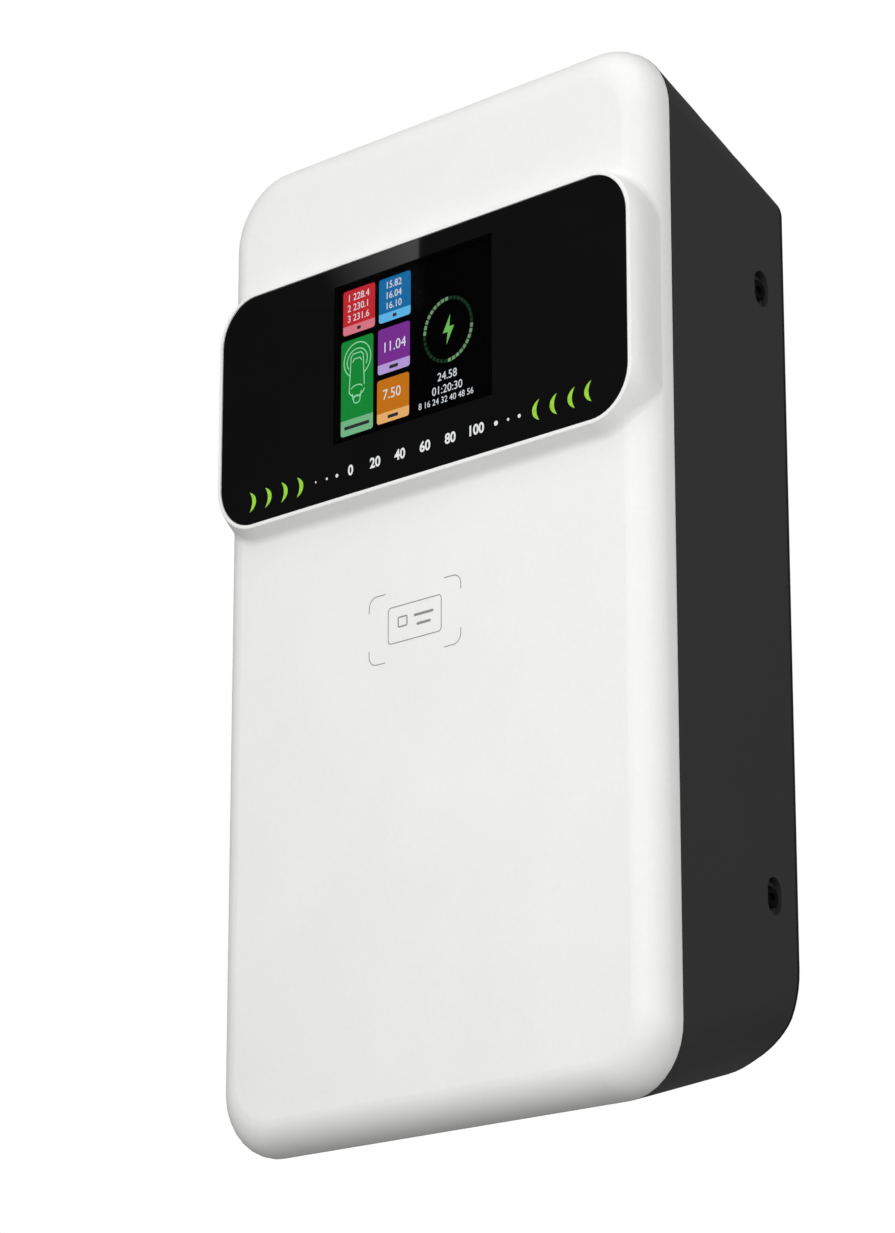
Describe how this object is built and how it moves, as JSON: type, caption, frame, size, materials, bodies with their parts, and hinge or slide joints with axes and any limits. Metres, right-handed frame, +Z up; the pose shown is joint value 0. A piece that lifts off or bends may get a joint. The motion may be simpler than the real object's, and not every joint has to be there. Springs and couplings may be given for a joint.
{
  "type": "ev wallbox",
  "caption": "Wall-mounted charging box with a white soft-edged cover, a raised black display bar, a charcoal tapered housing and recessed cable glands.",
  "frame": {"origin": "centre of the four wall bolt holes, on the wall plane at the back of the box", "axes": "+Z up, +Y into the wall, so the front faces -Y; +X is to the right for someone who looks at the front"},
  "size_m": [0.2, 0.087, 0.35],
  "materials": {
    "white_shell": "satin moulded, fine texture",
    "charcoal_shell": "satin moulded, fine texture",
    "lens_black": "polished acrylic, black printed behind, clear at the screen",
    "screen_glass": "dark glass screen with lit fields",
    "black_plastic": "satin",
    "clear_guide": "clear moulded, lit green",
    "black_rubber": "matt",
    "foam_tape": "matt",
    "zinc_steel": "zinc plated",
    "screw_steel": "plated",
    "circuit_board": "green solder mask",
    "relay_case": "moulded",
    "sensor_case": "moulded",
    "terminal_case": "moulded",
    "supply_case": "potted case",
    "capacitor_can": "drawn can",
    "choke_winding": "lacquered copper winding",
    "arrester_coat": "dipped coating",
    "can_metal": "pressed can",
    "header_plastic": "moulded",
    "gland_nylon": "satin"
  },
  "bodies": {
    "root": {"rear_housing": "charcoal_shell", "wall_seal": "black_rubber", "wall_bracket": "zinc_steel", "press_nuts": "zinc_steel", "side_screws": "screw_steel", "cover_seal": "black_rubber", "front_cover": "white_shell", "cover_screws": "screw_steel", "display_lens": "lens_black", "lens_tape": "foam_tape", "screen_panel": "screen_glass", "screen_carrier": "black_plastic", "display_board": "circuit_board", "display_screws": "screw_steel", "light_guide_left": "clear_guide", "light_guide_right": "clear_guide", "reader_board": "circuit_board", "reader_screws": "screw_steel", "main_board": "circuit_board", "board_screws": "screw_steel", "power_relays": "relay_case", "current_sensor": "sensor_case", "input_terminal": "terminal_case", "output_terminal": "terminal_case", "terminal_screws": "zinc_steel", "supply_module": "supply_case", "filter_capacitors": "capacitor_can", "line_choke": "choke_winding", "surge_arresters": "arrester_coat", "radio_module": "can_metal", "plug_headers": "header_plastic", "gland_bodies": "gland_nylon", "gland_washers": "black_rubber", "gland_domes": "gland_nylon", "gland_seals": "black_rubber", "gland_locknuts": "gland_nylon"}
  },
  "joints": []
}
